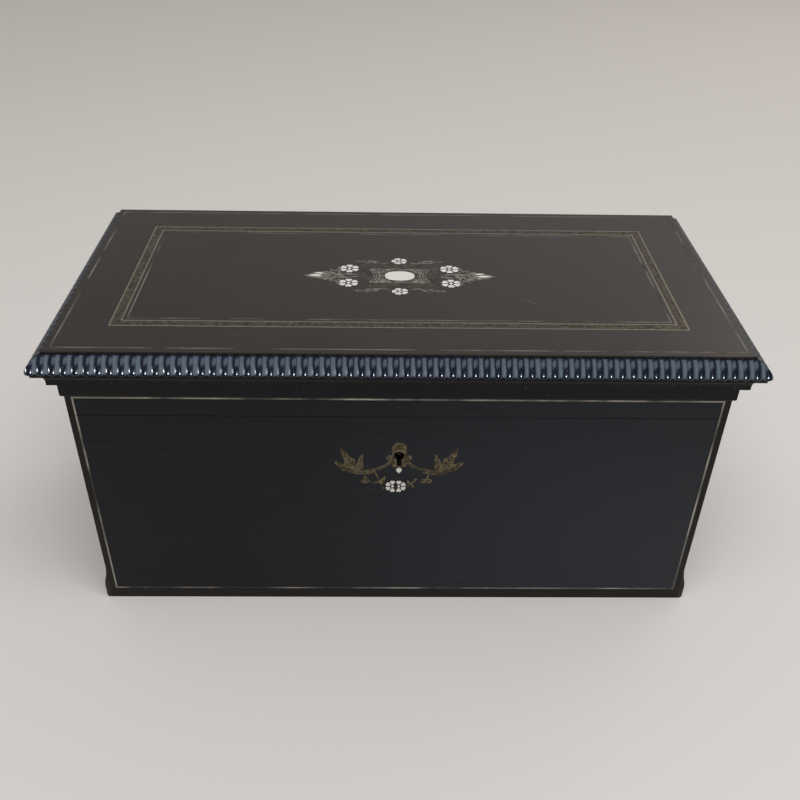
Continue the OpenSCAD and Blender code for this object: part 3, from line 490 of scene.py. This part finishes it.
ripple = {
    "quirk": 1.1,          # depth of the quirk beside the flat top
    "flatOut": 5.0,        # projection of the flat top's edge
    "slopeRadius": 16.0,   # sloping face, turned about an axis far inside
    "slopeIn": 1.0,
    "noseAngle": 27,       # degrees above the level where the slope meets the nose
    "noseRadius": 1.8,
    "ribPitch": 6.06,
    "ribDepth": 1.15,
    "rounding": 0.5,       # depth and reach of the rounding beside the quirk
    "slopeSteps": 18,
    "crowding": 1.4,       # power that draws the steps together near the quirk
    "noseSteps": 14,
    "stepsPerRib": 14,
    "backIn": 0.1,         # the hidden back, behind the flat top's edge and between two heights
    "backFoot": 0.9,
    "backDrop": 2.6,
}
slopeOut = ripple["flatOut"] + ripple["slopeIn"]
slopeZ = box["top"] - ripple["quirk"] - math.sqrt(ripple["slopeRadius"] ** 2 - slopeOut ** 2)
noseTurn = math.radians(ripple["noseAngle"])
noseIn = ripple["slopeRadius"] - ripple["noseRadius"]
noseOut = noseIn * math.cos(noseTurn) - ripple["slopeIn"]
noseZ = slopeZ + noseIn * math.sin(noseTurn)
underZ = noseZ - ripple["noseRadius"]
cornice = {
    "cove": 6.2,
    "fillet": 5.7,
    "filletDrop": 2.3,
    "lipIn": 0.5,
    "lipDrop": 1.8,
    "smallCove": 3.0,
    "bandOut": 1.7,
    "back": -1.5,
    "tuck": 5,
    "arcSteps": 20,
}
run = {
    "merge": 0.002,        # points nearer than this are one point, in millimetres
    "crease": 40,          # sharper turns than this stay sharp, in degrees
    "mitreRounds": 30,
}


def addPiece(name, mesh, mat, body, slot, *stoodFor):
    # Puts a mesh in the scene as a piece of the object, which rides on a body and may stand for CAD nodes
    mesh.materials.append(mat)
    piece = bpy.data.objects.new(name, mesh)
    bpy.context.scene.collection.objects.link(piece)
    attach(piece, body)
    if stoodFor:
        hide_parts(*stoodFor)


def runMesh(name, points, crest=None):
    # Closed surface from a grid of points (rows round the profile, columns along the run), with flat ends.
    # Columns past a mitre all lie on one point a row, so they are merged away
    rows, columns = points.shape[:2]
    index = np.arange(rows * columns).reshape(rows, columns)
    a = index[:, :-1]
    b = index[:, 1:]
    faces = np.stack([a, b, np.roll(b, -1, 0), np.roll(a, -1, 0)], -1).reshape(-1, 4).tolist()
    faces += [index[:, 0].tolist(), index[::-1, -1].tolist()]
    mesh = bpy.data.meshes.new(name)
    mesh.from_pydata((points.reshape(-1, 3) * mm).tolist(), [], faces)
    if crest is not None:
        stored = mesh.attributes.new("crest", "FLOAT", "POINT")
        stored.data.foreach_set("value", crest.ravel().astype(np.float32))
    work = bmesh.new()
    work.from_mesh(mesh)
    bmesh.ops.remove_doubles(work, verts=work.verts, dist=run["merge"] * mm)
    bmesh.ops.dissolve_degenerate(work, edges=work.edges, dist=run["merge"] * mm)
    bmesh.ops.recalc_face_normals(work, faces=work.faces)
    work.to_mesh(mesh)
    work.free()
    mesh.shade_smooth()
    mesh.set_sharp_from_angle(angle=math.radians(run["crease"]))
    return mesh


def runAlongSide(side, along, profileAt):
    # A profile (projection p, height z) carried along one side of the box. A point at s stops at the mitre
    # plane, x = clip(s, -(w/2 + p), w/2 + p), found by repeating, because p may change along the run
    turn, width, depth = sides[side]
    s = np.broadcast_to(along, (profileAt(along[None, :])[0].shape[0], along.size))
    x = s
    for _ in range(run["mitreRounds"]):
        p, z = profileAt(x)
        x = np.clip(s, -(width / 2 + p), width / 2 + p)
    y = -(depth / 2 + p)
    c, n = round(math.cos(math.radians(turn))), round(math.sin(math.radians(turn)))
    return np.stack([x * c - y * n, x * n + y * c, z], -1), x


def rippleSide(side):
    # Turned about two axes: p = axis + r cos(a), z = axis + r sin(a), first down the slope and then round the
    # nose. r = radius - depth (1 - |cos(pi s / pitch)|), which gives round ribs with a sharp groove between
    # them, and beside the quirk every rib is rounded off by 0.5 exp(-d / 0.5), d being the way down the slope
    length = sides[side][1] + 2 * (noseOut + ripple["noseRadius"])
    ribs = round(length / ripple["ribPitch"])
    pitch = length / ribs
    topTurn = math.acos(slopeOut / ripple["slopeRadius"])
    slope = np.linspace(0, 1, ripple["slopeSteps"]) ** ripple["crowding"]
    slope = topTurn + (noseTurn - topTurn) * slope
    nose = np.linspace(noseTurn, -math.pi / 2, ripple["noseSteps"])[1:]
    angle = np.concatenate([slope, nose])[:, None]
    onNose = (np.arange(angle.size) >= slope.size)[:, None]
    radius = np.where(onNose, ripple["noseRadius"], ripple["slopeRadius"])
    axisP = np.where(onNose, noseOut, -ripple["slopeIn"])
    axisZ = np.where(onNose, noseZ, slopeZ)
    down = (topTurn - angle) * ripple["slopeRadius"]
    rounded = np.where(onNose, 0, ripple["rounding"] * np.exp(-down / ripple["rounding"]))

    def wave(x):
        return 1 - np.abs(np.cos(np.pi * ((x + length / 2) / pitch - 0.5)))

    def profileAt(x):
        dip = wave(x[:angle.size]) if x.shape[0] > 1 else np.repeat(wave(x), angle.size, 0)
        r = radius - ripple["ribDepth"] * dip - rounded
        back = np.full((2, r.shape[1]), ripple["flatOut"] - ripple["backIn"])
        heights = np.array([[underZ + ripple["backFoot"]], [box["top"] - ripple["backDrop"]]])
        return (np.concatenate([axisP + r * np.cos(angle), back]),
                np.concatenate([axisZ + r * np.sin(angle), heights * np.ones((1, r.shape[1]))]))

    along = np.linspace(-length / 2, length / 2, ribs * ripple["stepsPerRib"] + 1)
    points, x = runAlongSide(side, along, profileAt)
    addPiece("rippleMoulding_" + side, runMesh("rippleMoulding_" + side, points, 1 - wave(x)), ripplePolish,
             "lid", "ebonised_wood", "ripple_" + side)


def corniceSide(side):
    # Straight run of an outline of arcs, each x = cx + r cos(a), z = cz + r sin(a): lip and cove, fillet,
    # small cove, flat band and a small ovolo
    def arc(cx, cz, r, a0, a1):
        a = np.radians(np.linspace(a0, a1, cornice["arcSteps"]))
        return np.stack([cx + r * np.cos(a), cz + r * np.sin(a)], -1)

    cove, smallCove, back, tuck = (cornice[k] for k in ("cove", "smallCove", "back", "tuck"))
    lipOut = noseOut - cornice["lipIn"]
    lipTurn = math.degrees(math.acos((lipOut - cornice["fillet"] - cove) / cove))
    coveZ = underZ - cornice["lipDrop"] - cove * math.sin(math.radians(lipTurn))
    filletZ = coveZ - cornice["filletDrop"]
    foot = box["corniceFoot"]
    outline = np.concatenate([
        [[back, box["board"]], [tuck, box["board"]], [tuck, underZ], [lipOut, underZ]],
        arc(cornice["fillet"] + cove, coveZ, cove, lipTurn, 180),
        [[cornice["fillet"], filletZ]],
        arc(cornice["bandOut"] + smallCove, filletZ - smallCove, smallCove, 90, 180),
        arc(0, foot + cornice["bandOut"], cornice["bandOut"], 0, -90),
        [[back, foot]],
    ])

    def profileAt(x):
        shape = (len(outline), x.shape[1])
        return np.broadcast_to(outline[:, :1], shape), np.broadcast_to(outline[:, 1:], shape)

    width = sides[side][1]
    points = runAlongSide(side, np.linspace(-width, width, 3), profileAt)[0]
    addPiece("corniceMoulding_" + side, runMesh("corniceMoulding_" + side, points), mouldingPolish,
             "lid", "ebonised_wood", "cornice_" + side)


for side in sides:
    rippleSide(side)
    corniceSide(side)
print("mouldings made")


# Engraving

engraving = {
    "lift": 0.02,       # the wax stands this far proud of the metal
    "steps": 14,
    "blunt": 0.15,      # width of a cut at its ends, as a share of its full width
    # widths of the cuts
    "leaves": 0.42,
    "stems": 0.8,
    "curls": 1.3,
    "scratch": 0.3,
    # leaves: x, y, turn, length, width, bend, lobes, and the share of the length that is engraved
    "keyholeLeaves": [(23, -12.4, 58, 21.5, 7.2, -1.2, 3, 0.9), (22.5, -12, 96, 13.5, 4.6, -1.6, 2, 0.9),
                      (25, -12, 30, 15.5, 6.4, -1, 3, 0.9)],
    "keyholeStems": [[(3.9, -3.2), (6.9, -8.2), (11.7, -11), (23, -11.8)],
                     [(16, -12.7), (24, -14.2), (31, -11.8), (36, -6.5)]],
    "keyholeArch": [[(-3.7, -7.6), (-3.7, -3), (-3.7, 3), (-3.7, 6.2)],
                    [(-3.7, 6.2), (-3.7, 11.1), (3.7, 11.1), (3.7, 6.2)],
                    [(3.7, 6.2), (3.7, 3), (3.7, -3), (3.7, -7.6)],
                    [(-2.6, 5.6), (-1.6, 9), (1.6, 9), (2.6, 5.6)],
                    [(-2.2, 4.3), (-1, 5.6), (1, 5.6), (2.2, 4.3)]],
    # middles of the curls that are cut out dark, and the points of the short cut through each
    "keyholeCurls": [(5.6, -1.4), (-5.6, -1.4), (14.6, -19.3), (18.2, -19.3), (-21.5, -19.2), (-20.1, -20),
                     (-18.7, -19.2)],
    "curlAcross": (-0.7, -0.25, 0.25, 0.7),
    "cartoucheLeaves": [(12, 17.2, 6, 16, 4.4, 1, 3, 0.9), (34, 0, 0, 25, 12, 0, 1, 0.5),
                        (35.7, 2.4, 40, 9.5, 5, -1.5, 2, 0.9), (40, 1.5, 104, 10.5, 4.2, 1, 2, 0.9)],
    "cartoucheRings": [(10.4, 7.2), (11.4, 8.2)],
    # centre, radius and half angle of the arcs beside the ends
    "cartoucheRays": [(29.67, 18.0, 23), (29.67, 19.2, 22)],
    "lidScratch": [[(69.8, -27.5), (74, -27.9), (78, -31.0), (80.5, -35.4)]],
}
# A leaf's veins, as shares of its length and width
veins = {
    "start": 0.06,
    "bends": (0.33, 0.72),
    "first": 0.25,
    "beforeTip": 0.15,
    "reach": 0.36,
    "crowding": 0.8,
    "forward": 1.25,
    "curve": ((0.4, 0.4), (0.7, 0.8), (0.85, 1)),
}


def leafLines(leaves):
    # Control points of each leaf's middle vein and of the side veins that spring from it at 38 degrees. A
    # side vein at the share t of the length reaches 0.36 width sin(pi t^0.8)
    lines = []
    for x, y, turn, length, width, bend, lobes, share in leaves:
        c, n = math.cos(math.radians(turn)), math.sin(math.radians(turn))
        leafAxes = np.array([[c, n], [-n, c]])
        near, far = (place * share for place in veins["bends"])
        middle = [[veins["start"], 0], [near, bend / length], [far, bend / length], [share, 0]]
        cuts = [np.array(middle) * length]
        for t in np.linspace(veins["first"], share - veins["beforeTip"], 2 * lobes - 1):
            reach = veins["reach"] * width * math.sin(math.pi * t ** veins["crowding"])
            start = np.array([t * length, bend * 3 * t * (1 - t)])
            for up in (-1, 1):
                way = np.array([veins["forward"], up]) * reach
                cuts.append(np.stack([start] + [start + way * part for part in veins["curve"]]))
        lines += [cut @ leafAxes + (x, y) for cut in cuts]
    return np.array(lines)


def ribbons(name, lines, width, place, mat, body, slot):
    # Flat strips along cubic lines: B(t) = (1-t)^3 P0 + 3t(1-t)^2 P1 + 3t^2(1-t) P2 + t^3 P3, and the two
    # edges are B(t) +- w/2 (b + (1 - b) sin(pi t)^0.5) N(t), so that each cut runs out nearly to a point
    steps, blunt = engraving["steps"], engraving["blunt"]
    t = np.linspace(0, 1, steps)[None, :, None]
    p = lines[:, :, None, :].transpose(1, 0, 2, 3)
    curve = (1 - t) ** 3 * p[0] + 3 * t * (1 - t) ** 2 * p[1] + 3 * t ** 2 * (1 - t) * p[2] + t ** 3 * p[3]
    way = np.gradient(curve, axis=1)
    way /= np.linalg.norm(way, axis=2, keepdims=True)
    across = np.stack([-way[..., 1], way[..., 0]], -1)
    half = width / 2 * (blunt + (1 - blunt) * np.sin(np.pi * t) ** 0.5)
    flat = np.stack([curve - half * across, curve + half * across], 2).reshape(-1, 2)
    index = np.arange(len(flat)).reshape(len(lines), steps, 2)
    here, ahead = index[:, :-1], index[:, 1:]
    faces = np.stack([here[..., 0], ahead[..., 0], ahead[..., 1], here[..., 1]], -1).reshape(-1, 4)
    mesh = bpy.data.meshes.new(name)
    mesh.from_pydata((place(flat) * mm).tolist(), [], faces.tolist())
    addPiece(name, mesh, mat, body, slot)


def mirrored(lines, *signs):
    # The same lines again for each pair of signs, (x, y) times (sx, sy), and run backwards when turned over
    return np.concatenate([lines[:, ::1 if sx * sy > 0 else -1] * (sx, sy) for sx, sy in signs])


def onFront(flat):
    # (x, z) about the keyhole, laid on the front
    x, z = flat.T
    y = np.full_like(x, -box["depth"] / 2 - engraving["lift"])
    return np.stack([x, y, z + box["rim"] - box["keyholeDrop"]], -1)


def onTop(flat):
    # (x, y) about the cartouche, laid on the top
    x, y = flat.T
    return np.stack([x, y - box["cartoucheForward"], np.full_like(x, box["top"] + engraving["lift"])], -1)


def quarterArc(cx, cy, rx, ry, a0, a1):
    # Cubic line close to an arc: its handles are 4/3 tan(turn / 4) long
    h = 4 / 3 * math.tan((a1 - a0) / 4)
    (c0, n0), (c1, n1) = [(math.cos(a), math.sin(a)) for a in (a0, a1)]
    return [(cx + rx * c, cy + ry * n)
            for c, n in ((c0, n0), (c0 - h * n0, n0 + h * c0), (c1 + h * n1, n1 - h * c1), (c1, n1))]


def engrave():
    # The keyhole ornament is the same on both sides of its middle, and the cartouche in all four quarters
    both = (1, 1), (-1, 1)
    leaves = mirrored(leafLines(engraving["keyholeLeaves"]), *both)
    leaves = np.concatenate([leaves, np.array(engraving["keyholeArch"])])
    stems = mirrored(np.array(engraving["keyholeStems"]), *both)
    curls = np.array([[(x + dx, z) for dx in engraving["curlAcross"]] for x, z in engraving["keyholeCurls"]])
    for kind, lines in (("Leaves", leaves), ("Stems", stems), ("Curls", curls)):
        width = engraving[kind.lower()]
        ribbons("keyholeEngraving" + kind, lines, width, onFront, wax, "box", "inlay_brass")
    rings = [quarterArc(0, 0, a, b, 0, math.pi / 2) for a, b in engraving["cartoucheRings"]]
    rays = [quarterArc(x, 0, r, r, math.pi - math.radians(a), math.pi)
            for x, r, a in engraving["cartoucheRays"]]
    quarter = np.concatenate([leafLines(engraving["cartoucheLeaves"]), np.array(rings + rays)])
    whole = mirrored(quarter, *both, (1, -1), (-1, -1))
    ribbons("cartoucheEngraving", whole, engraving["leaves"], onTop, wax, "lid", "inlay_brass")
    ribbons("lidScratch", np.array(engraving["lidScratch"]), engraving["scratch"], onTop, dryScratch, "lid",
            "ebonised_wood")


engrave()
print("engraving made")


# Camera, floor and light

view = {
    "place": (-0.0102, -0.4997, 0.4572),
    "down": 35.609,
    "turn": 1.380,
    "roll": 1.191,
    "lens": 40.77,
    "sensor": 36,
    "nearest": 0.01,
}


def placeCamera():
    # Looks down by p, round by t and tilts by r: forward = (sin t cos p, cos t cos p, -sin p)
    p, t, r = (math.radians(view[k]) for k in ("down", "turn", "roll"))
    forward = Vector((math.sin(t) * math.cos(p), math.cos(t) * math.cos(p), -math.sin(p)))
    right = Vector((math.cos(t), -math.sin(t), 0))
    up = right.cross(forward)
    across = math.cos(r) * right + math.sin(r) * up
    upward = -math.sin(r) * right + math.cos(r) * up
    data = bpy.data.cameras.new("camera")
    data.lens = view["lens"]
    data.sensor_width = view["sensor"]
    data.clip_start = view["nearest"]
    camera = bpy.data.objects.new("camera", data)
    bpy.context.scene.collection.objects.link(camera)
    turned = Matrix((across, upward, -forward)).transposed().to_4x4()
    camera.matrix_world = Matrix.Translation(view["place"]) @ turned
    bpy.context.scene.camera = camera


def layFloor(half):
    # Matt pale paper under the box, with no pattern, that reaches so many metres each way
    mesh = bpy.data.meshes.new("floor")
    corners = [(-half, -half, 0), (half, -half, 0), (half, half, 0), (-half, half, 0)]
    mesh.from_pydata(corners, [], [(0, 1, 2, 3)])
    mesh.materials.append(plainFinish("mattPaperFloor", "#d9d5ce", {"Roughness": 0.9, "IOR": 1.3}))
    floor = bpy.data.objects.new("floor", mesh)
    bpy.context.scene.collection.objects.link(floor)


lamps = {
    # name: place, point that it faces, size across and high, watts, colour
    "overhead": ((0.15, -0.55, 1.6), (0, 0, 0.1), (1.7, 0.8), 18, "#f1f4ff"),
    "rightRear": ((1.5, 1.3, 1.1), (0, 0, 0.15), (1.2, 0.9), 4.5, "#fff8f0"),
}
# Small bright lamps in front, seen only as points of light in the ripple mouldings
sparkles = {
    "frontLeft": ((-1.7, -1.0, 0.72), (0, -0.1, 0.18), (0.3, 0.14), 24, "#ffffff"),
    "frontRight": ((0.4, -1.8, 0.8), (0, -0.1, 0.18), (0.3, 0.14), 38, "#ffffff"),
}


def hangLamps():
    # Every lamp faces its target, and the sparkles light nothing but the ripple mouldings
    sparkled = bpy.data.collections.new("sparkled")
    for name in allRound("rippleMoulding"):
        sparkled.objects.link(bpy.data.objects[name])
    for name, (place, target, size, watts, colour) in {**lamps, **sparkles}.items():
        data = bpy.data.lights.new(name, "AREA")
        data.shape = "RECTANGLE"
        data.size, data.size_y = size
        data.energy = watts
        data.color = linear(colour)[:3]
        lamp = bpy.data.objects.new(name, data)
        bpy.context.scene.collection.objects.link(lamp)
        lamp.location = place
        if name in sparkles:
            lamp.visible_diffuse = False
            lamp.light_linking.receiver_collection = sparkled
        lamp.rotation_euler = (Vector(target) - Vector(place)).to_track_quat("-Z", "Y").to_euler()


room = {
    "light": "#e9e6e2",
    "strength": 0.62,
    # colours from the horizon at 0 to straight overhead at 1
    "seen": [(0.0, "#d3d0cb"), (0.15, "#d3d0cb"), (0.4, "#8b8886"), (0.9, "#d6d6d8")],
}


def paintWorld():
    # Even pale light from all round. The camera, and rays that a surface reflects or lets through, see a room
    # that is pale overhead and at the horizon and dimmer between the two
    world = bpy.data.worlds.new("studio")
    bpy.context.scene.world = world
    world.use_nodes = True
    nodes = world.node_tree.nodes
    fill(world, nodes["Background"], {0: linear(room["light"]), 1: room["strength"]})
    rays = put(world, "LightPath", {}).outputs
    direct = calc(world, "MAXIMUM", rays["Is Camera Ray"], rays["Is Glossy Ray"])
    seen = calc(world, "MAXIMUM", direct, rays["Is Transmission Ray"])
    way = put(world, "TexCoord", {}).outputs["Generated"]
    height = put(world, "SeparateXYZ", {0: way}).outputs["Z"]
    seenPart = put(world, "Background", {0: tones(world, height, room["seen"])}).outputs[0]
    share = put(world, "MixShader", {0: seen, 1: nodes["Background"].outputs[0], 2: seenPart})
    fill(world, nodes["World Output"], {0: share.outputs[0]})


placeCamera()
layFloor(half=20)
hangLamps()
paintWorld()
bpy.context.scene.view_settings.view_transform = "Standard"
print("camera, floor and light placed")
